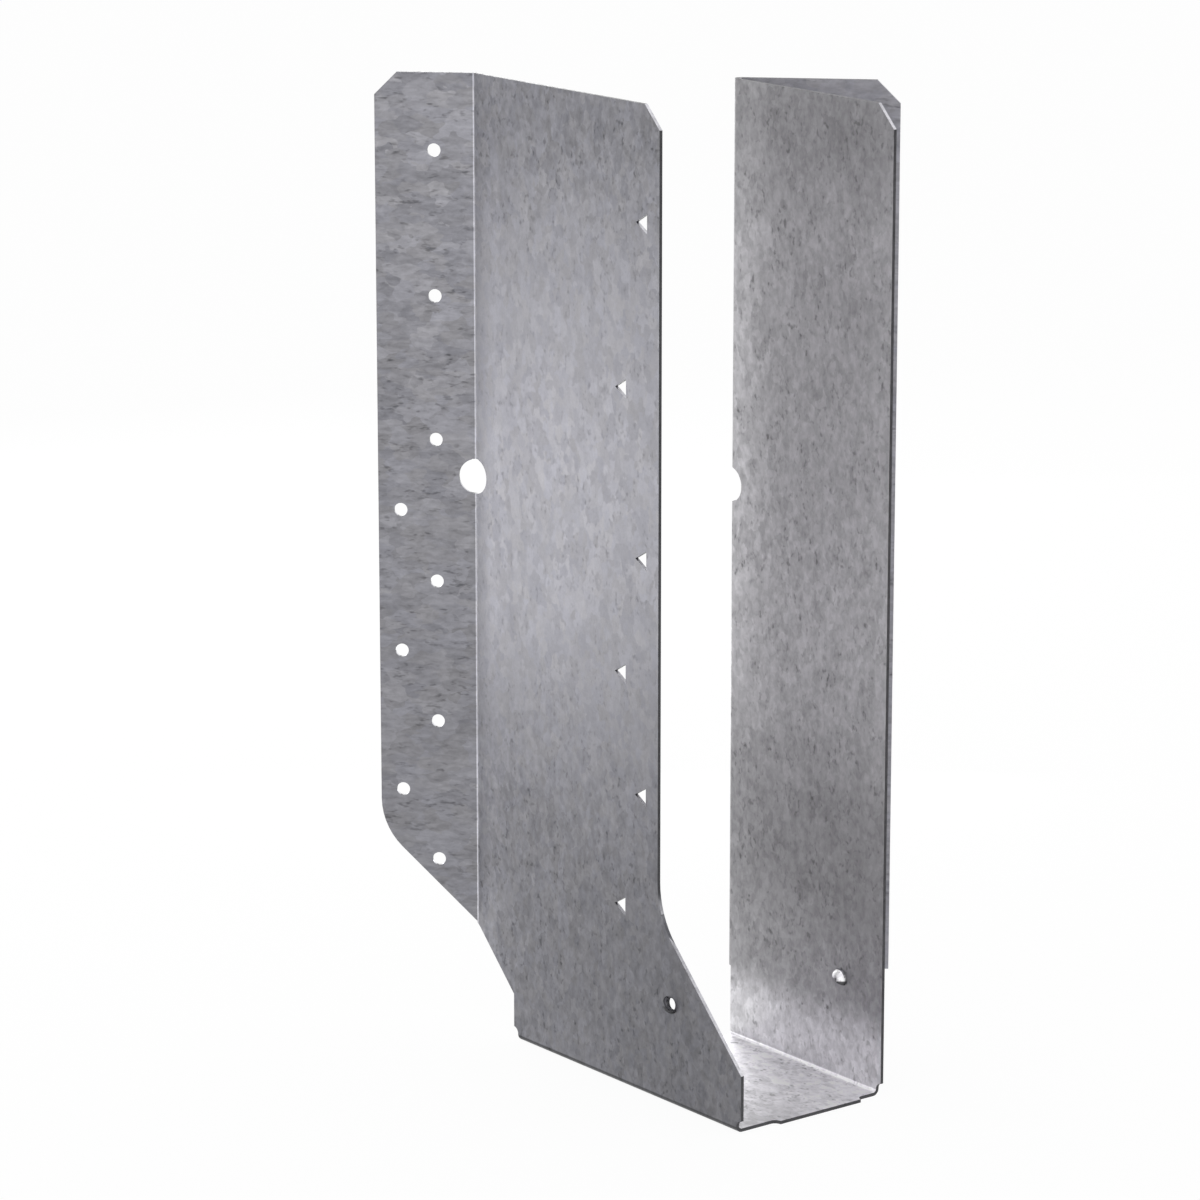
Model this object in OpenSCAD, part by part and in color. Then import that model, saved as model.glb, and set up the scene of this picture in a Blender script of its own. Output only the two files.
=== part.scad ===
// Skewed face-mount joist hanger, pressed from one galvanised sheet.
// Frame: the origin is the middle of the seat's top face, +Z up. The header face is
// a plane of constant Y, behind the flanges; the joist runs out of it toward -Y and +X.

/* [Sheet] */
// Thickness of the steel sheet
sheet_t = 1.22; // [1.0:0.02:1.6]
// Inside radius of every fold
fold_r = 1.22; // [0.8:0.02:1.6]
// Width of the mitred corners at the top
corner_cut = 8.1; // [4:0.1:12]
// Radius of the relief nick at the ends of each seat fold
nick_r = 2.4; // [1:0.1:3]

/* [Pocket] */
// Clear width between the side plates
pocket_w = 62.4; // [56:0.2:70]
// Overall height, from the underside of the seat
height = 351; // [345:1:400]
// Angle of the joist from square to the header
skew = 45; // [43:0.5:47]
// Reach of the seat's front edge, along the joist from the left fold
seat_reach = 151.2; // [145:0.2:160]
// Setback of the left plate's lower back edge from the left fold
heel_setback = 21.3; // [16:0.1:26]
// Height at which that edge meets the sloped back edge
heel_h = 17.2; // [14:0.1:20]
// Distance of the long nick's far end from the left plate's outer face
nick_left = 17.9; // [12:0.1:24]
// Distance of the short nick's far end from the right plate's outer face
nick_right = 10.3; // [8:0.1:14]

/* [Left plate] */
// Depth of the left plate above its toe, from the left fold
left_d = 104.8; // [100:0.2:110]
// Height of the toe's front edge
toe_h = 21.2; // [16:0.2:26]
// Inside radius where the front edge runs into the sloped toe
toe_r = 29; // [20:1:32]

/* [Flanges] */
// Width of the left flange, from its fold
left_flange_w = 35.5; // [35:0.1:40]
// Width of the right flange, from its fold
right_flange_w = 58.3; // [55:0.1:64]
// Radius of the left flange's rounded lower corner
flange_r = 26; // [18:1:28]
// Height at which the left flange's sloped lower edge meets the fold
flange_heel = 39.1; // [38:0.1:42]
// Height of the right flange's lower edge
right_flange_h = 27.3; // [20:0.1:30]

/* [Header nails] */
// Diameter of a header nail hole
nail_d = 4.8; // [4:0.1:5.4]
// Distance of the outer column from the flange's free edge
nail_edge = 8.1; // [7:0.1:10]
// Distance between the two columns
nail_gap = 13; // [11:0.1:14]
// Spacing of the holes along a column
nail_pitch = 52.1; // [46:0.1:60]
// Distance of the inner column's top hole under the top edge
nail_drop = 27.6; // [20:0.1:34]
// Height that the inner column's lowest hole stays above
nail_foot = 62; // [54:0.5:66]

/* [Joist nails] */
// Diameter of the nail passage of a slant-nail pressing
slant_d = 4.8; // [4:0.1:5.2]
// Metal left around that passage
slant_wall = 1.1; // [0.9:0.05:1.3]
// Position of the left pressing along the joist
slant_left_s = 112.6; // [108:0.1:118]
// Height of the left pressing
slant_left_h = 37.3; // [34:0.1:40]
// Position of the right pressing along the joist
slant_right_s = 128.6; // [120:0.1:134]
// Height of the right pressing
slant_right_h = 38.3; // [34:0.1:42]
// Angle of a nail's way down, from level toward the header
slant_turn = 50; // [35:1:65]
// Circle that a three-sided hole fits in
tri_d = 8; // [6:0.2:9]
// Distance of the front column of three-sided holes from the front edge
tri_edge = 8.7; // [7:0.1:12]
// Distance between the two columns of three-sided holes
tri_gap = 11.4; // [10:0.1:13]
// Distance of the highest three-sided hole under the top edge
tri_drop = 40.7; // [36:0.1:50]
// Height of the lowest three-sided hole
tri_low = 66.45; // [60:0.05:70]
// Spacing of the four lower three-sided holes
tri_pitch = 42.25; // [36:0.05:50]

/* [Fold holes] */
// Diameter of the round hole on each flange fold
fold_hole_d = 12.7; // [10:0.1:13]
// Height of the fold holes
fold_hole_h = 206.1; // [195:0.1:207]

/* [Hidden] */
fold_fn = 72;
lap = 0.03;                           // how far a flange runs into its fold
slip = 0.002;                         // and how far it keeps inside the fold's skin there
tuck = 0.3;                           // how far the left fold's foot hangs under its edge
cusp = 0.15;                          // left off the thin ends of a corner's waste
spare = 1;                            // how far a punch runs past the sheet
bite = 0.6;                           // and how far a fold hole's punches run past it
ease = 0.04;                          // by which the second of them is wider
slope_in = 135;                       // inside angle between an upright and a sloped edge
beta = 90 - skew;                     // angle between the header face and the joist
ro = fold_r + sheet_t;                // outside radius of a fold
outer_w = pocket_w + 2*sheet_t;       // over both side plates
toe_slope = toe_h + seat_reach;       // s + z along the sloped toe
heel_slope = heel_h + heel_setback;   // s + z along the sloped back edge

// Fold centres, in plan, measured along and across the joist from the left fold line.
// A derived length is kept to a tenth of a micron, so that neighbouring faces meet exactly.
function fine(v) = round(v*10000)/10000;
set_l = fine(fold_r*tan(beta/2));
set_r = fine(fold_r/tan(beta/2));
right_s = fine(outer_w/tan(beta));
cl = [set_l, -fold_r];
cr = [right_s + set_r, outer_w + fold_r];

right_edge = outer_w/sin(beta) + right_flange_w;   // free edge of the right flange

// middle of the seat's top face, along and across the joist
heel_x = heel_setback + nick_r;
seat_n = outer_w/2;
seat_s = (heel_x + (seat_n - ro)/tan(beta) + seat_reach)/2;

// Header frame: X along the header from the left fold, Y = 0 at the back of the flanges.
module to_origin() {
    x = seat_s*cos(beta) + seat_n*sin(beta);
    y = -sheet_t - seat_s*sin(beta) + seat_n*cos(beta);
    translate([-x, -y, -sheet_t]) children();
}

// Joist frame: X along the joist, Y across it from the left plate's outer face.
module joist_frame() {
    translate([0, -sheet_t, 0]) rotate([0, 0, -beta]) children();
}

// A flat drawn in (along, up) becomes sheet whose near face is at depth y.
module wall(y) {
    translate([0, y + sheet_t, 0]) rotate([90, 0, 0])
        linear_extrude(sheet_t) children();
}

// One fold of the sheet round a vertical line.
module fold(a, len) {
    rotate_extrude(angle = a, $fn = fold_fn)
        translate([fold_r, 0]) square([sheet_t, len]);
}

// The waste between a corner and the arc of radius r that is tangent to both its sides.
// The sides leave the corner at angles a and a + w.
module corner_waste(p, a, w, r) {
    t = r/tan(w/2) - cusp;
    m = r/sin(w/2);
    difference() {
        polygon([p, p + t*[cos(a), sin(a)], p + m*[cos(a + w/2), sin(a + w/2)],
                 p + t*[cos(a + w), sin(a + w)]]);
        translate(p + m*[cos(a + w/2), sin(a + w/2)]) circle(r, $fn = 96);
    }
}

// Quarter-round nick, cut back from an edge at its free end.
module nick(p, r) {
    translate(p) circle(r, $fn = 48);
}

// The flanges are drawn from the end of their folds, which is at 0.
module left_flange_flat() {
    foot = flange_heel + left_flange_w;
    heel = flange_heel + set_l + slip;
    edge = set_l - left_flange_w;
    top = height - slip;
    difference() {
        polygon([[lap, top], [edge + corner_cut, top], [edge, top - corner_cut],
                 [edge, foot], [-slip, heel], [lap, heel]]);
        corner_waste([edge, foot], slope_in - 180, slope_in, flange_r);
    }
}

module right_flange_flat() {
    foot = right_flange_h + slip;
    edge = fine(right_edge - cr[0]*cos(beta) - cr[1]*sin(beta));
    top = height - slip;
    polygon([[-lap, foot], [edge, foot], [edge, top - corner_cut],
             [edge - corner_cut, top], [-lap, top]]);
}

// A flange follows its fold, square to the header.
module flange(c) {
    translate([c[0], c[1], 0]) rotate([0, 0, beta]) translate([0, ro - slip, 0])
        rotate([90, 0, 0]) linear_extrude(sheet_t - 2*slip) children();
}

module left_plate_flat() {
    top_front = toe_slope - left_d;
    difference() {
        union() {
            polygon([[set_l, height], [left_d - corner_cut, height],
                     [left_d, height - corner_cut], [left_d, top_front],
                     [seat_reach, toe_h], [seat_reach, ro], [heel_setback, ro],
                     [heel_setback, heel_h], [set_l, heel_slope - set_l]]);
            corner_waste([left_d, top_front], slope_in - 180, slope_in, toe_r);
        }
        nick([seat_reach, ro], nick_r);
        nick([heel_setback, ro], nick_r);
    }
}

module right_plate_flat() {
    difference() {
        polygon([[cr[0], height], [seat_reach - corner_cut, height],
                 [seat_reach, height - corner_cut], [seat_reach, ro], [cr[0], ro]]);
        nick([seat_reach, ro], nick_r);
    }
}

// The seat between its two folds, drawn along and across the joist.
module seat_flat() {
    front = seat_reach - nick_r;
    n0 = nick_left - nick_r;
    n1 = outer_w - nick_right + nick_r;
    difference() {
        polygon([[heel_x, ro], [cr[0], ro + (cr[0] - heel_x)*tan(beta)],
                 [cr[0], outer_w - ro], [front, outer_w - ro], [front, n1],
                 [seat_reach, n1], [seat_reach, n0], [front, n0], [front, ro]]);
        nick([seat_reach, n0], nick_r);
        nick([seat_reach, n1], nick_r);
    }
}

// Fold under one side of the seat; side is 0 for the left and 1 for the right.
module seat_fold(side, s0) {
    translate([s0, side ? outer_w - ro : ro, ro])
        rotate([90, 0, 90]) rotate([0, 0, side ? -90 : 180])
            fold(90, seat_reach - nick_r - s0);
}

module left_fold() {
    drop = flange_heel + 2*set_l - heel_slope;
    chord = 2*(fold_r + sheet_t/2)*sin(beta/2);
    mid = (flange_heel + heel_slope)/2 - tuck;
    far = 2*ro;
    rise = far*drop/chord;
    translate([cl[0], cl[1], 0]) difference() {
        rotate([0, 0, 90]) fold(beta, height);
        rotate([0, 0, beta/2]) translate([0, far, 0]) rotate([90, 0, 0])
            linear_extrude(far) polygon([[-far, -spare], [far, -spare], [far, mid - rise],
                                         [-far, mid + rise]]);
    }
}

module right_fold() {
    translate([cr[0], cr[1], right_flange_h])
        rotate([0, 0, -90]) fold(beta - 180, height - right_flange_h);
}

// A punch along Y, through the sheet that lies between y0 and y1.
module punch(x, z, y0, y1, d, fn = 48) {
    translate([x, y1, z]) rotate([90, 0, 0]) rotate([0, 0, 180])
        cylinder(d = d, h = y1 - y0, $fn = fn);
}

// Nail holes of one flange; dir points from the free edge toward the fold.
module nail_holes(x_edge, dir) {
    x_out = x_edge + dir*nail_edge;
    top = height - nail_drop;
    last = floor((top - nail_foot)/nail_pitch);
    for (i = [0:last])
        punch(x_out + dir*nail_gap, top - i*nail_pitch, -sheet_t - spare, spare, nail_d);
    for (i = [2:last - 1])
        punch(x_out, top - (i + 0.5)*nail_pitch, -sheet_t - spare, spare, nail_d);
}

// The round hole that was punched across each flange fold before it was bent. It is cut
// square to the plate up to the middle of the fold, and square to the flange beyond it.
module fold_hole_plate(c, sweep, y0, y1) {
    half = (fold_r + sheet_t/2)*sweep*PI/360;
    punch(c[0] - half, fold_hole_h, y0, y1, fold_hole_d, 96);
}
module fold_hole_flange(c, sweep, dir) {
    half = (fold_r + sheet_t/2)*sweep*PI/360;
    x = c[0]*cos(beta) + c[1]*sin(beta);
    punch(x + dir*half, fold_hole_h, -sheet_t - spare, bite, fold_hole_d + ease, 96);
}

// Three-sided holes of the left plate, in turn on its two columns: four from the foot up,
// one under the top edge and one halfway between.
module tri_holes() {
    top = height - tri_drop;
    fourth = tri_low + 3*tri_pitch;
    rows = [for (i = [0:3]) tri_low + i*tri_pitch, (fourth + top)/2, top];
    for (i = [0:5])
        punch(left_d - tri_edge - ((i + 1) % 2)*tri_gap, rows[i], -spare, sheet_t + spare,
              tri_d, 3);
}

// Slant-nail pressing: the lower half, nearer the header, is domed out of the pocket and the
// upper half is domed into it, so that a nail can be driven through on a slant, down and
// toward the header. out is -1 for the left plate and 1 for the right one.
module slant_domes(s, y, z, out) {
    d = slant_d + 2*slant_wall;
    translate([s, y, z]) for (k = [-1, 1]) intersection() {
        sphere(d = d, $fn = 64);
        rotate([0, -slant_turn, 0]) translate([k < 0 ? -d : 0, k*out < 0 ? 0 : -d, -d])
            cube([d, d, 2*d]);
    }
}
module slant_passage(s, y, z) {
    translate([s, y, z]) sphere(d = slant_d, $fn = 64);
}

module hanger() {
    color([0.56, 0.56, 0.59]) to_origin() difference() {
        joist_frame() difference() {
            union() {
                wall(0) left_plate_flat();
                wall(outer_w - sheet_t) right_plate_flat();
                linear_extrude(sheet_t) seat_flat();
                seat_fold(0, heel_x);
                seat_fold(1, cr[0]);
                left_fold();
                right_fold();
                flange(cl) left_flange_flat();
                flange(cr) right_flange_flat();
                slant_domes(slant_left_s, sheet_t/2, slant_left_h, -1);
                slant_domes(slant_right_s, outer_w - sheet_t/2, slant_right_h, 1);
            }
            slant_passage(slant_left_s, sheet_t/2, slant_left_h);
            slant_passage(slant_right_s, outer_w - sheet_t/2, slant_right_h);
            tri_holes();
            fold_hole_plate(cl, beta, -spare, sheet_t + bite);
            fold_hole_plate(cr, 180 - beta, outer_w - sheet_t - bite, outer_w + spare);
        }
        nail_holes(-left_flange_w, 1);
        nail_holes(right_edge, -1);
        fold_hole_flange(cl, beta, 1);
        fold_hole_flange(cr, 180 - beta, -1);
    }
}

hanger();
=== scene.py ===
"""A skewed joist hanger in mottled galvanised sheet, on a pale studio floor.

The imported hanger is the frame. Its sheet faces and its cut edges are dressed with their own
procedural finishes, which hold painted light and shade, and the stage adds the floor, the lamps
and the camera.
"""

import math

import bpy
from bpy.props import FloatProperty, FloatVectorProperty, PointerProperty
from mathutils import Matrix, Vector
from mathutils.bvhtree import BVHTree


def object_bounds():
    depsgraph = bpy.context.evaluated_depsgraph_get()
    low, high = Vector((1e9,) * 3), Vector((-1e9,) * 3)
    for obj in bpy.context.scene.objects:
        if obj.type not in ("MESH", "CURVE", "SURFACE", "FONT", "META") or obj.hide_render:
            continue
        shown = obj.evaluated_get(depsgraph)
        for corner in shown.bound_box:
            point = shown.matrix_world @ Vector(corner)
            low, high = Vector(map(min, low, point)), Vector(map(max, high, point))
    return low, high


bl_info = {
    "name": "Joist Hanger Looks",
    "version": (1, 0, 0),
    "blender": (4, 5, 0),
    "location": "View3D > Sidebar > Hanger",
    "description": "Galvanised finishes, stage, lamps and camera for a skewed joist hanger",
    "category": "Material",
}

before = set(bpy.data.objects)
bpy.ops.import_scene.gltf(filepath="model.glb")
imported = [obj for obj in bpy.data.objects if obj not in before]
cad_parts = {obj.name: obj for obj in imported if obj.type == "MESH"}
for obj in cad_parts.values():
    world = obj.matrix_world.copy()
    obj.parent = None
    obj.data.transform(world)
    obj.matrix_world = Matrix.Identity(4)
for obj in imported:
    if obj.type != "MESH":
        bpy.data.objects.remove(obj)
CAD_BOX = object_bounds()

# The folded sheet. Lengths are in metres.
SHEET = -CAD_BOX[0].z  # thickness: the seat's top is at z = 0, and its underside is lowest
SKEW = math.radians(45)  # between the header's face and the joist
PLATE_OUT = 0.0325  # from the joist's middle to just past the plates' outer faces
INWARD = -0.012  # depth times facing, under which a face looks at the joist
RIGHT_PLATE = 0.025  # depth past which the coat is the right plate's
BETWEEN_FLANGES = -0.05  # x of a line that has one flange on each side
SEAT_HEIGHT = 0.003  # height under which a face that looks up is the seat's top

# A unit normal's part along an axis, where a face or a fold begins or ends.
ON_FLANGE = 0.93
ON_LEVEL = 0.8
ON_SEAT_TOP = 0.5
ON_HEADER_FOLD = (0.06, 0.14), (0.46, 0.38)
LEAN_ON_HEADER_FOLD = 0.2
ON_SEAT_FOLD = (0.10, 0.25), (0.97, 0.85)
ON_UNDERSIDE = (-0.04, -0.20)
OFF_RIGHT_BEND = 0.5
ON_SLOPED_EDGE = (0.1, 0.5), (0.97, 0.85)

# Stretches over which the coat's painted light and shade change, each from none of the change to
# all of it.
TOE = (0.15, 0.05)  # height on the left plate
TOP = (0.295, 0.345)  # height on the left plate and in the pocket
FREE_EDGE = (-0.10, 0.03)  # run on the left plate
BESIDE_FOLD = (-0.080, -0.103)  # run on the left plate
HOLLOW = (0.13, 0.09)  # height in the pocket
OVER_SEAT = (0.031, 0.014)  # height in the pocket
SEAT_LEFT = (0.012, -0.026)  # depth on the seat
EVEN_FADE = 0.4  # share of the fade along the left plate at which its tone stays as it is
EVEN_SLOPE = 0.25  # share of the slope across the seat at which its tone stays as it is

# How fine the coat's marks are along and across the sheet, on a side plate and on a flange.
CRYSTALS_ALONG = (1.25, 0.8)
CRYSTALS_ACROSS = (1.7, 1.35)
FLECKS_ALONG = (1.4, 1.0)
FLECKS_ACROSS = (1.9, 2.6)

# The coat's marks.
FLANGE_SLICE = 0.37  # slice of the noise that the flanges show
SEAT_SLICE = 0.53  # slice of the noise that level faces show
WARP_SIZE = 1 / 1.4  # of the waves in the crystals' outlines, in crystals
WARP_REACH = 1.1  # of those waves, in crystals
STREAK_SIZE = 1.5  # in flecks
PATCH_SIZE = 5.0  # of the patches that have flecks, in flecks
IN_FLECK = (0.54, 0.74)  # stretch of the fine noise over which a fleck sets in
IN_PATCH = (0.42, 0.60)  # stretch of the broad noise over which a patch of them sets in
PLATE_MARKS = (0.25, 1.05)  # strength on the left plate, in its middle and at its ends
UPPER_END = (0.27, 0.34)  # height on the left plate
LOWER_END = (0.15, 0.08)  # height on the left plate
CLOUD_SIZE = 0.030
GRAIN_SIZE = 0.0009
GRAIN_TONE = 0.12
CLOUD_ROUGHNESS = 0.10
CRYSTAL_ROUGHNESS = -0.06
FLECK_ROUGHNESS = 0.08
COAT_BUMP = 0.35

# The sheared edges.
MOTTLE_SIZE = 0.0022
MOTTLE_TONE = 1.1
MOTTLE_ROUGHNESS = 0.3
SHEAR_TONE = 0.5
SHEAR_DEPTH = 0.1  # of a shear mark, in its widths
EDGE_BUMP = 0.3

# Each lamp's name, place, aim, width and height, and power, in metres and watts.
LAMPS = (
    ("side_low", (-0.6, 0.04, 0.05), (0.0, 0.0, 0.17), (0.15, 0.15), 0.085),
    ("side_high", (-0.6, 0.04, 0.12), (0.0, 0.0, 0.17), (0.20, 0.20), 0.20),
    ("front_low", (-0.1, -1.5, 0.12), (0.0, 0.0, 0.17), (0.60, 0.20), 1.2),
    ("back_low", (-0.12, 1.0, 0.15), (0.0, 0.0, 0.12), (0.60, 0.25), 0.16),
    ("pocket", (-0.08, 0.40, 0.035), (-0.03, 0.0, 0.08), (0.30, 0.05), 0.16),
    ("back_high", (-0.5, 0.9, 0.45), (0.0, 0.0, 0.02), (0.70, 0.50), 3.5),
    ("top", (0.0, -0.2, 1.5), (0.0, 0.0, 0.10), (0.80, 0.80), 1.5),
)
FLOOR_HALF = 20.0  # half the floor's width
WHITE = (1.0, 1.0, 1.0)


# ---------------------------------------------------------------- shader arithmetic


class Term:
    """One node socket that can be used in a Python expression."""

    def __init__(self, board, socket):
        self.board = board
        self.socket = socket

    def sibling(self, output):
        """Another output of the same node."""
        return Term(self.board, self.socket.node.outputs[output])

    def _math(self, operation, *values):
        return self.board.node("ShaderNodeMath", {"operation": operation}, values)

    def __add__(self, other):
        return self._math("ADD", self, other)

    def __radd__(self, other):
        return self._math("ADD", other, self)

    def __sub__(self, other):
        return self._math("SUBTRACT", self, other)

    def __rsub__(self, other):
        return self._math("SUBTRACT", other, self)

    def __mul__(self, other):
        return self._math("MULTIPLY", self, other)

    def __rmul__(self, other):
        return self._math("MULTIPLY", other, self)

    def __abs__(self):
        return self._math("ABSOLUTE", self)

    def __gt__(self, other):
        return self._math("GREATER_THAN", self, other)

    def __lt__(self, other):
        return self._math("LESS_THAN", self, other)

    def clamp(self):
        """The value, kept between 0 and 1."""
        return self._math("MINIMUM", self._math("MAXIMUM", self, 0.0), 1.0)


class Board:
    """A material's or a world's node tree, built from Python expressions."""

    def __init__(self, owner):
        owner.use_nodes = True
        self.tree = owner.node_tree
        self.tree.nodes.clear()

    def node(self, kind, settings=None, values=None, output=0):
        """Adds a node: its settings are set first, then the values or links of its inputs."""
        made = self.tree.nodes.new(kind)
        for name, value in (settings or {}).items():
            setattr(made, name, value)
        pairs = enumerate(values) if isinstance(values, (list, tuple)) else (values or {}).items()
        for key, value in pairs:
            if isinstance(value, Term):
                self.tree.links.new(value.socket, made.inputs[key])
                continue
            if made.inputs[key].type == "RGBA" and len(value) == 3:
                value = (*value, 1.0)
            made.inputs[key].default_value = value
        return Term(self, made.outputs[output]) if made.outputs else None

    def ramp(self, value, none, full):
        """0 where value is at none, 1 where it is at full, and smooth between."""
        return self.node(
            "ShaderNodeMapRange",
            {"interpolation_type": "SMOOTHSTEP"},
            {"Value": value, "From Min": none, "From Max": full},
        )

    def band(self, value, rise, fall):
        """1 between the stretch where it rises and the stretch where it falls, and else 0."""
        return self.ramp(value, *rise) * self.ramp(value, *fall)

    def vector(self, x, y, z):
        """The vector of three numbers."""
        return self.node("ShaderNodeCombineXYZ", values=[x, y, z])

    def parts(self, vector):
        """The three numbers of a vector or of a colour."""
        split = self.node("ShaderNodeSeparateXYZ", values=[vector])
        return [split.sibling(axis) for axis in range(3)]

    def scaled(self, vector, scale):
        """A vector or a colour, times a number."""
        return self.node(
            "ShaderNodeVectorMath", {"operation": "SCALE"}, {"Vector": vector, "Scale": scale}
        )

    def noise(self, place, size, detail=2.0, roughness=0.5, distortion=0.0, output="Fac"):
        """Fractal noise whose lumps are about size metres across."""
        return self.node(
            "ShaderNodeTexNoise",
            values={
                "Vector": place,
                "Scale": 1.0 / size,
                "Detail": detail,
                "Roughness": roughness,
                "Distortion": distortion,
            },
            output=output,
        )

    def blend(self, share, first, second):
        """The colour first where share is 0, and the colour second where it is 1."""
        return self.node(
            "ShaderNodeMix", {"data_type": "RGBA"}, {0: share, 6: first, 7: second}, output=2
        )

    def background_rays(self):
        """1 on what the camera sees directly, and 1 on what metal or glass shows of it."""
        seen = self.node("ShaderNodeLightPath", output="Is Camera Ray")
        return seen, seen.sibling("Is Glossy Ray") + seen.sibling("Is Transmission Ray")


def mix(first, second, share):
    """The value first where share is 0, and the value second where it is 1."""
    return first + (second - first) * share


def swing(noise, strength):
    """How far a noise value lies from its middle, times a strength."""
    return (noise - 0.5) * strength


# ---------------------------------------------------------------- settings


class SheetLook(bpy.types.PropertyGroup):
    colour: FloatVectorProperty(
        name="Zinc",
        description="Colour of the zinc coat between its marks",
        subtype="COLOR",
        size=3,
        min=0.0,
        max=1.0,
        default=(0.239, 0.236, 0.250),
    )
    cool: FloatVectorProperty(
        name="Cool zinc",
        description="Colour of the crystals that look bluer",
        subtype="COLOR",
        size=3,
        min=0.0,
        max=1.0,
        default=(0.232, 0.232, 0.256),
    )
    # The pocket's paler coat is painted light: it stands for the light that reaches the pocket,
    # the seat's top and the right plate.
    pocket: FloatVectorProperty(
        name="Pocket zinc",
        description="Colour of the coat round the joist and on the right plate",
        subtype="COLOR",
        size=3,
        min=0.0,
        max=1.0,
        default=(0.447, 0.441, 0.457),
    )
    # Painted light and shade of the areas. A brightness of 1 and a darkening or brightening of 0
    # change nothing.
    # Painted reflection on the seat's top; the slope is painted shade across it.
    seat: FloatProperty(
        name="Seat", description="Brightness of the seat's top beside the pocket's", default=1.85
    )
    slope: FloatProperty(
        name="Seat slope",
        description="Darkening across the seat toward the left",
        subtype="FACTOR",
        min=0.0,
        max=1.0,
        default=0.4,
    )
    # Painted shade low, high and toward the free edge of the left plate, and a painted reflection
    # by its fold.
    toe: FloatProperty(
        name="Toe",
        description="Darkening low on the left plate",
        subtype="FACTOR",
        min=0.0,
        max=1.0,
        default=0.18,
    )
    top: FloatProperty(
        name="Top",
        description="Darkening high on the left plate",
        subtype="FACTOR",
        min=0.0,
        max=1.0,
        default=0.1,
    )
    fade: FloatProperty(
        name="Fade",
        description="Darkening of the left plate toward its free edge",
        subtype="FACTOR",
        min=0.0,
        max=1.0,
        default=0.20,
    )
    bright: FloatProperty(
        name="Fold side",
        description="Brightening of the left plate by its fold",
        subtype="FACTOR",
        min=0.0,
        max=1.0,
        default=0.3,
    )
    # Painted reflection of the seat in the pocket, and painted shade in its lower part and at its
    # top.
    glow: FloatProperty(
        name="Over the seat",
        description="Brightening of the pocket by the seat",
        subtype="FACTOR",
        min=0.0,
        max=1.0,
        default=0.72,
    )
    hollow: FloatProperty(
        name="Hollow",
        description="Darkening of the pocket's lower part",
        subtype="FACTOR",
        min=0.0,
        max=1.0,
        default=0.18,
    )
    pocket_top: FloatProperty(
        name="Pocket top",
        description="Darkening of the pocket's top",
        subtype="FACTOR",
        min=0.0,
        max=1.0,
        default=0.2,
    )
    # Painted reflection on the right flange, and painted shade on the seat's underside and bend.
    right: FloatProperty(
        name="Right flange", description="Brightness of the right flange", default=1.9
    )
    under: FloatProperty(
        name="Underside", description="Brightness of the seat's underside and bend", default=0.25
    )
    # Painted highlights on the header folds and on the folds beside the seat.
    fold_highlight: FloatProperty(
        name="Highlit fold", description="Brightness of the header folds", default=2.7
    )
    seat_fold: FloatProperty(
        name="Seat fold", description="Brightness of the folds beside the seat", default=2.16
    )
    # Marks, sizes and roughness.
    blotch: FloatProperty(
        name="Blotches",
        description="Difference in tone between the zinc's crystals",
        subtype="FACTOR",
        min=0.0,
        max=1.0,
        default=0.20,
    )
    streak: FloatProperty(
        name="Streaks",
        description="Strength of the marks drawn along the sheet",
        subtype="FACTOR",
        min=0.0,
        max=1.0,
        default=0.75,
    )
    dark: FloatProperty(
        name="Dark flecks",
        description="How much darker the flecks are",
        subtype="FACTOR",
        min=0.0,
        max=1.0,
        default=0.36,
    )
    cloud: FloatProperty(
        name="Clouds",
        description="Strength of the broad clouds",
        subtype="FACTOR",
        min=0.0,
        max=1.0,
        default=0.26,
    )
    crystal: FloatProperty(
        name="Crystal size", description="Width of a crystal", default=0.0058, unit="LENGTH"
    )
    fleck: FloatProperty(
        name="Fleck size", description="Length of a dark fleck", default=0.0032, unit="LENGTH"
    )
    roughness: FloatProperty(
        name="Roughness",
        description="Mean roughness",
        subtype="FACTOR",
        min=0.0,
        max=1.0,
        default=0.38,
    )
    seat_roughness: FloatProperty(
        name="Seat roughness",
        description="Extra roughness of the seat's top",
        subtype="FACTOR",
        min=0.0,
        max=1.0,
        default=0.16,
    )
    relief: FloatProperty(
        name="Relief", description="Depth of the coat's unevenness", default=0.00002, unit="LENGTH"
    )


class EdgeLook(bpy.types.PropertyGroup):
    # The bare steel is dark partly as painted shade, and the edges that slope up get a painted
    # highlight over it.
    colour: FloatVectorProperty(
        name="Bare steel",
        description="Colour of the sheared edges",
        subtype="COLOR",
        size=3,
        min=0.0,
        max=1.0,
        default=(0.075, 0.0745, 0.079),
    )
    # Painted highlight on the sheared edges that slope up.
    upward_highlight: FloatProperty(
        name="Sloped edges", description="Extra brightness of edges that slope up", default=7.5
    )
    striation: FloatProperty(
        name="Striation", description="Width of a shear mark", default=0.0004, unit="LENGTH"
    )
    roughness: FloatProperty(
        name="Roughness",
        description="Mean roughness",
        subtype="FACTOR",
        min=0.0,
        max=1.0,
        default=0.36,
    )


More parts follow.
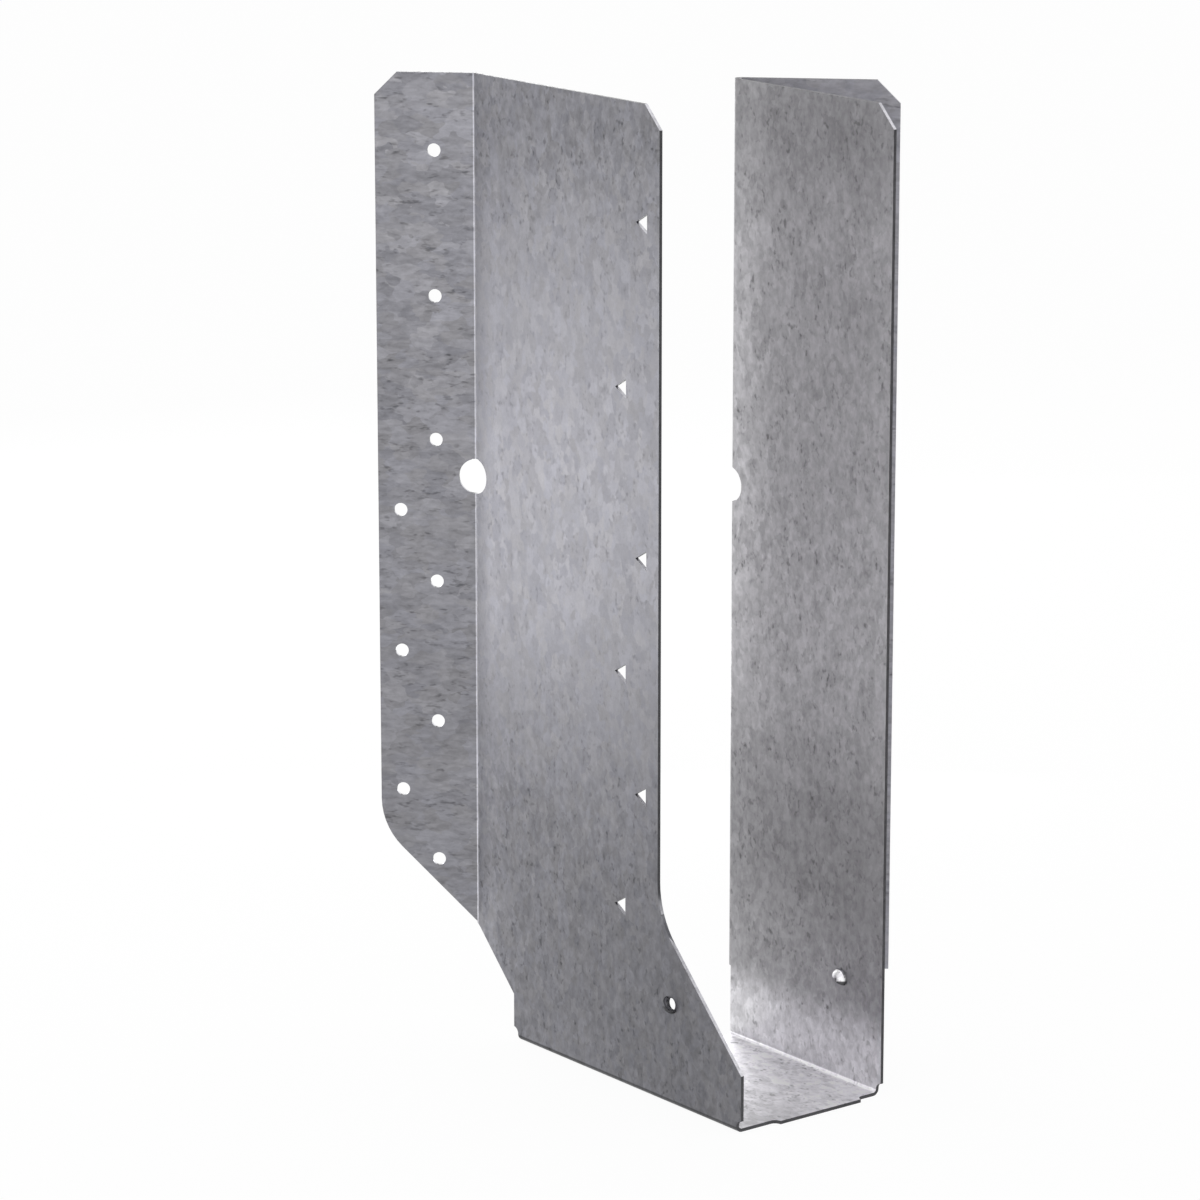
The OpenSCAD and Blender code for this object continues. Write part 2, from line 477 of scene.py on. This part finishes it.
class StageLook(bpy.types.PropertyGroup):
    azimuth: FloatProperty(
        name="Azimuth",
        description="Turn of the view round the hanger",
        subtype="ANGLE",
        default=math.radians(7.132),
    )
    elevation: FloatProperty(
        name="Elevation",
        description="Angle of the view above the level",
        subtype="ANGLE",
        default=math.radians(13.8301),
    )
    distance: FloatProperty(
        name="Distance", description="From the camera to its aim", default=1.8025, unit="LENGTH"
    )
    aim: FloatVectorProperty(
        name="Aim",
        description="Point that the camera looks at",
        subtype="TRANSLATION",
        size=3,
        default=(-0.051083, 0.052697, 0.159861),
    )
    view_angle: FloatProperty(
        name="View angle",
        description="Width of the camera's view",
        subtype="ANGLE",
        default=math.radians(13.6486),
    )
    floor: FloatProperty(
        name="Floor",
        description="Floor's reflectance",
        subtype="FACTOR",
        min=0.0,
        max=1.0,
        default=0.8,
    )
    shadow: FloatProperty(
        name="Shadow",
        description="Share of the floor's shading that the camera sees",
        subtype="FACTOR",
        min=0.0,
        max=1.0,
        default=0.05,
    )
    sky: FloatProperty(
        name="Sky",
        description="Strength of the studio's even light",
        subtype="FACTOR",
        min=0.0,
        max=1.0,
        default=0.9,
    )


class HangerLooks(bpy.types.PropertyGroup):
    sheet: PointerProperty(type=SheetLook)
    edge: PointerProperty(type=EdgeLook)
    stage: PointerProperty(type=StageLook)


# ---------------------------------------------------------------- finishes


class Surface:
    """A point of the folded sheet: its place and the areas that it lies in.

    run grows along the joist, away from the header. depth grows across the joist, from the left
    plate to the right one, and is 0 midway. An area is 1 inside and 0 outside. along, across and
    apart are the sheet's own coordinates: along its marks, across them, and one that sets the
    faces apart.
    """

    def __init__(self, board):
        self.place = board.node("ShaderNodeTexCoord", output="Object")
        normal = board.node("ShaderNodeNewGeometry", output="Normal")
        x, y, z = board.parts(self.place)
        nx, ny, nz = board.parts(normal)
        facing = nx * math.sin(SKEW) + ny * math.cos(SKEW)  # the normal's part along depth
        self.z = z
        self.run = x * math.cos(SKEW) - y * math.sin(SKEW)
        self.depth = x * math.sin(SKEW) + y * math.cos(SKEW)

        self.flange = abs(ny) > ON_FLANGE
        self.right_flange = self.flange * (x > BETWEEN_FLANGES)
        self.pocket = (abs(self.depth) < PLATE_OUT) * (self.depth * facing < INWARD)
        self.seat_top = (nz > ON_SEAT_TOP) * (z < SEAT_HEIGHT)
        right_plate = (self.depth > RIGHT_PLATE) * (1.0 - self.flange) * (nz < ON_SEAT_TOP)
        # The pocket, the seat's top and the right plate, whose paler coat is painted light.
        self.pale = (self.pocket + self.seat_top + right_plate).clamp()
        self.left_outside = (1.0 - self.pale) * (1.0 - self.flange) * (self.depth < 0.0)

        # The folds and the underside, picked by how far the normal has turned, for their painted
        # highlights and shade.
        header_turn = board.band(abs(nx), *ON_HEADER_FOLD) * (abs(nz) < LEAN_ON_HEADER_FOLD)
        self.header_fold = header_turn * (ny < 0.0)
        self.seat_fold = self.pocket * board.band(nz, *ON_SEAT_FOLD)
        self.underside = board.ramp(nz, *ON_UNDERSIDE) * (facing < OFF_RIGHT_BEND)

        level = abs(nz) > ON_LEVEL
        self.along = mix(mix(z, x, self.flange), self.run, level)
        self.across = mix(mix(self.run, z, self.flange), self.depth, level)
        self.apart = mix(mix(self.depth, FLANGE_SLICE, self.flange), SEAT_SLICE, level)


def painted_light_tone(board, look, on):
    """Painted light and shade: the brightness that each area of the sheet gives its coat, where 1
    is no change.
    """
    top = board.ramp(on.z, *TOP)
    outside = look.bright * board.ramp(on.run, *BESIDE_FOLD) - look.top * top
    outside = outside - look.fade * (board.ramp(on.run, *FREE_EDGE) - EVEN_FADE)
    outside = outside - look.toe * board.ramp(on.z, *TOE)
    pocket = look.glow * board.ramp(on.z, *OVER_SEAT) - look.pocket_top * top
    pocket = pocket - look.hollow * board.ramp(on.z, *HOLLOW)
    seat = look.seat * (1.0 - look.slope * (board.ramp(on.depth, *SEAT_LEFT) - EVEN_SLOPE))

    tone = 1.0 + outside * on.left_outside + pocket * on.pocket
    tone = mix(tone, seat, on.seat_top)
    tone = mix(tone, look.right, on.right_flange)
    tone = mix(tone, look.fold_highlight, on.header_fold)
    tone = mix(tone, look.seat_fold, on.seat_fold)
    return mix(tone, look.under, on.underside)


def zinc_crystals(board, look, on):
    """Two chance numbers for each crystal of the zinc, whose outlines are warped cells."""
    place = board.vector(
        on.along * mix(*CRYSTALS_ALONG, on.flange),
        on.across * mix(*CRYSTALS_ACROSS, on.flange),
        on.apart,
    )
    warp = board.noise(place, look.crystal * WARP_SIZE, detail=1.0, output="Color")
    shifted = board.node(
        "ShaderNodeVectorMath",
        {"operation": "MULTIPLY_ADD"},
        [warp, (look.crystal * WARP_REACH,) * 3, place],
    )
    cells = board.node(
        "ShaderNodeTexVoronoi",
        {"feature": "F1"},
        {"Vector": shifted, "Scale": 1.0 / look.crystal},
        output="Color",
    )
    return board.parts(cells)[:2]


def drawn_marks(board, look, on):
    """Streaks drawn along the sheet, about 0.5 on the mean, and dark flecks from 0 to 1."""
    place = board.vector(
        on.along * mix(*FLECKS_ALONG, on.flange),
        on.across * mix(*FLECKS_ACROSS, on.flange),
        on.apart,
    )
    streaks = board.noise(place, look.fleck * STREAK_SIZE, roughness=0.55, distortion=0.4)
    fine = board.noise(place, look.fleck, detail=1.5)
    patch = board.noise(place, look.fleck * PATCH_SIZE, detail=1.0)
    return streaks, board.ramp(fine, *IN_FLECK) * board.ramp(patch, *IN_PATCH)


def metal(board, colour, roughness, **bump):
    """Ends a material with a metal surface. bump holds the values of its Bump node."""
    raised = board.node("ShaderNodeBump", values=bump)
    shader = board.node(
        "ShaderNodeBsdfPrincipled",
        values={"Base Color": colour, "Metallic": 1.0, "Roughness": roughness, "Normal": raised},
    )
    board.node("ShaderNodeOutputMaterial", values={"Surface": shader})


def galvanised_sheet(look):
    """Zinc coat: crystals of different tone, drawn streaks, dark flecks and soft clouds, with
    painted light and shade by area.
    """
    material = bpy.data.materials.new("galvanised_sheet")
    board = Board(material)
    on = Surface(board)
    chance, hue = zinc_crystals(board, look, on)
    streaks, flecks = drawn_marks(board, look, on)
    grain = board.noise(on.place, GRAIN_SIZE, detail=1.0)
    cloud = board.noise(on.place, CLOUD_SIZE, roughness=0.55)

    # The marks are at full strength on all areas but the left plate, whose middle is smoother.
    ends = board.ramp(on.z, *UPPER_END) + board.ramp(on.z, *LOWER_END)
    strength = mix(mix(*PLATE_MARKS, ends), 1.0, (on.pale + on.flange).clamp())
    marks = swing(chance, look.blotch) + swing(streaks, look.streak) - flecks * look.dark
    level = 1.0 + swing(cloud, look.cloud) + marks * strength + swing(grain, GRAIN_TONE)
    zinc = board.blend(hue, look.colour, look.cool)
    # The paler coat of these areas is painted light.
    colour = board.blend(on.pale, zinc, look.pocket)
    # Painted light and shade by area scale the coat's colour here.
    painted_light_colour = board.scaled(colour, level * painted_light_tone(board, look, on))
    rough = look.roughness + look.seat_roughness * on.seat_top + swing(cloud, CLOUD_ROUGHNESS)
    rough = rough + swing(chance, CRYSTAL_ROUGHNESS) + flecks * FLECK_ROUGHNESS
    metal(board, painted_light_colour, rough, Strength=COAT_BUMP, Distance=look.relief, Height=streaks)
    return material


def sheared_edge(look):
    """Cut edge of the sheet: dark torn steel with shear marks, its darkness partly painted shade,
    with a painted highlight where it slopes up.
    """
    material = bpy.data.materials.new("sheared_edge")
    board = Board(material)
    place = board.node("ShaderNodeTexCoord", output="Object")
    nz = board.parts(board.node("ShaderNodeNewGeometry", output="Normal"))[2]
    highlit = board.band(nz, *ON_SLOPED_EDGE)
    mottle = board.noise(place, MOTTLE_SIZE, detail=3.0)
    marks = board.noise(place, look.striation)
    level = 1.0 + swing(mottle, MOTTLE_TONE) + swing(marks, SHEAR_TONE)
    colour = board.scaled(tuple(look.colour), level * (1.0 + look.upward_highlight * highlit))
    rough = look.roughness + swing(mottle, MOTTLE_ROUGHNESS)
    relief = look.striation * SHEAR_DEPTH
    metal(board, colour, rough, Strength=EDGE_BUMP, Distance=relief, Height=marks)
    return material


def cut_faces(mesh):
    """Faces with no other face about one thickness behind them: the sheared edges."""
    start, reach = SHEET * 0.05, SHEET * 1.6
    points = [vertex.co for vertex in mesh.vertices]
    skin = BVHTree.FromPolygons(points, [tuple(face.vertices) for face in mesh.polygons])
    return [
        face.index
        for face in mesh.polygons
        if skin.ray_cast(face.center - face.normal * start, -face.normal, reach)[0] is None
    ]


# ---------------------------------------------------------------- stage


def area_lamp(name, place, aim, size, power):
    """Soft rectangular lamp at place that faces aim and that the camera doesn't see."""
    lamp = bpy.data.lights.new(name, "AREA")
    lamp.shape = "RECTANGLE"
    lamp.size, lamp.size_y = size
    lamp.energy = power
    holder = bpy.data.objects.new(name, lamp)
    holder.location = place
    holder.rotation_euler = (Vector(aim) - Vector(place)).to_track_quat("-Z", "Y").to_euler()
    holder.visible_camera = False
    bpy.context.scene.collection.objects.link(holder)


def studio_floor(look):
    """Pale floor at the underside of the seat. The camera sees it almost white."""
    low = CAD_BOX[0].z
    sides = ((-1, -1), (1, -1), (1, 1), (-1, 1))
    corners = [(x * FLOOR_HALF, y * FLOOR_HALF, low) for x, y in sides]
    mesh = bpy.data.meshes.new("floor")
    mesh.from_pydata(corners, [], [(0, 1, 2, 3)])
    floor = bpy.data.objects.new("floor", mesh)
    bpy.context.scene.collection.objects.link(floor)

    material = bpy.data.materials.new("floor_paint")
    board = Board(material)
    seen, mirrored = board.background_rays()
    paint = board.node("ShaderNodeBsdfDiffuse", values={"Color": (look.floor,) * 3})
    glow = board.node("ShaderNodeEmission", values={"Color": WHITE, "Strength": 1.0})
    share = (seen * (1.0 - look.shadow) + mirrored).clamp()
    surface = board.node("ShaderNodeMixShader", values=[share, paint, glow])
    board.node("ShaderNodeOutputMaterial", values={"Surface": surface})
    mesh.materials.append(material)
    return floor


def studio_sky(look):
    """Even white light. The camera, metal and glass see it as plain white."""
    world = bpy.data.worlds.new("studio")
    bpy.context.scene.world = world
    board = Board(world)
    seen, mirrored = board.background_rays()
    strength = mix(look.sky, 1.0, (seen + mirrored).clamp())
    glow = board.node("ShaderNodeBackground", values={"Color": WHITE, "Strength": strength})
    board.node("ShaderNodeOutputWorld", values={"Surface": glow})


def studio_camera(look):
    """Camera that looks at the aim from the chosen side and height."""
    level = math.cos(look.elevation)
    back = Vector(
        (math.sin(look.azimuth) * level, -math.cos(look.azimuth) * level, math.sin(look.elevation))
    )
    lens = bpy.data.cameras.new("camera")
    lens.angle = look.view_angle
    lens.clip_start = 0.05
    lens.clip_end = 100.0
    camera = bpy.data.objects.new("camera", lens)
    camera.location = Vector(look.aim) + back * look.distance
    camera.rotation_euler = (-back).to_track_quat("-Z", "Y").to_euler()
    bpy.context.scene.collection.objects.link(camera)
    return camera


# ---------------------------------------------------------------- operators


class HANGER_OT_sheet(bpy.types.Operator):
    """Gives the hanger its galvanised coat"""

    bl_idname = "hanger.sheet"
    bl_label = "Galvanised sheet"

    def execute(self, context):
        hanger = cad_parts["hanger"]
        hanger.data.materials.clear()
        hanger.data.materials.append(galvanised_sheet(context.scene.hanger_looks.sheet))
        return {"FINISHED"}


class HANGER_OT_edges(bpy.types.Operator):
    """Gives the sheared edges and the punched walls their bare finish, after the coat"""

    bl_idname = "hanger.edges"
    bl_label = "Sheared edges"

    def execute(self, context):
        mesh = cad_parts["hanger"].data
        edges = cut_faces(mesh)
        if not edges:
            raise RuntimeError("The hanger has no sheared edges")
        if len(mesh.materials) != 1:
            raise RuntimeError("The edges follow the coat, so Galvanised sheet is run first")
        mesh.materials.append(sheared_edge(context.scene.hanger_looks.edge))
        for index in edges:
            mesh.polygons[index].material_index = 1
        return {"FINISHED"}


class HANGER_OT_stage(bpy.types.Operator):
    """Sets the floor, the lamps and the camera"""

    bl_idname = "hanger.stage"
    bl_label = "Stage"

    def execute(self, context):
        look = context.scene.hanger_looks.stage
        context.scene.view_settings.view_transform = "Standard"
        studio_sky(look)
        studio_floor(look)
        for lamp in LAMPS:
            area_lamp(*lamp)
        context.scene.camera = studio_camera(look)
        return {"FINISHED"}


class HANGER_PT_looks(bpy.types.Panel):
    """The hanger's finishes and stage"""

    bl_idname = "HANGER_PT_looks"
    bl_label = "Joist hanger"
    bl_space_type = "VIEW_3D"
    bl_region_type = "UI"
    bl_category = "Hanger"

    def draw(self, context):
        looks = context.scene.hanger_looks
        for operator, group in (
            (HANGER_OT_sheet, looks.sheet),
            (HANGER_OT_edges, looks.edge),
            (HANGER_OT_stage, looks.stage),
        ):
            box = self.layout.box()
            box.operator(operator.bl_idname)
            for name in group.__annotations__:
                box.prop(group, name)


CLASSES = (
    SheetLook,
    EdgeLook,
    StageLook,
    HangerLooks,
    HANGER_OT_sheet,
    HANGER_OT_edges,
    HANGER_OT_stage,
    HANGER_PT_looks,
)


def register():
    for made in CLASSES:
        bpy.utils.register_class(made)
    bpy.types.Scene.hanger_looks = PointerProperty(type=HangerLooks)


def unregister():
    del bpy.types.Scene.hanger_looks
    for made in reversed(CLASSES):
        bpy.utils.unregister_class(made)


def main():
    register()
    bpy.ops.hanger.sheet()
    bpy.ops.hanger.edges()
    bpy.ops.hanger.stage()


if __name__ == "__main__":
    main()
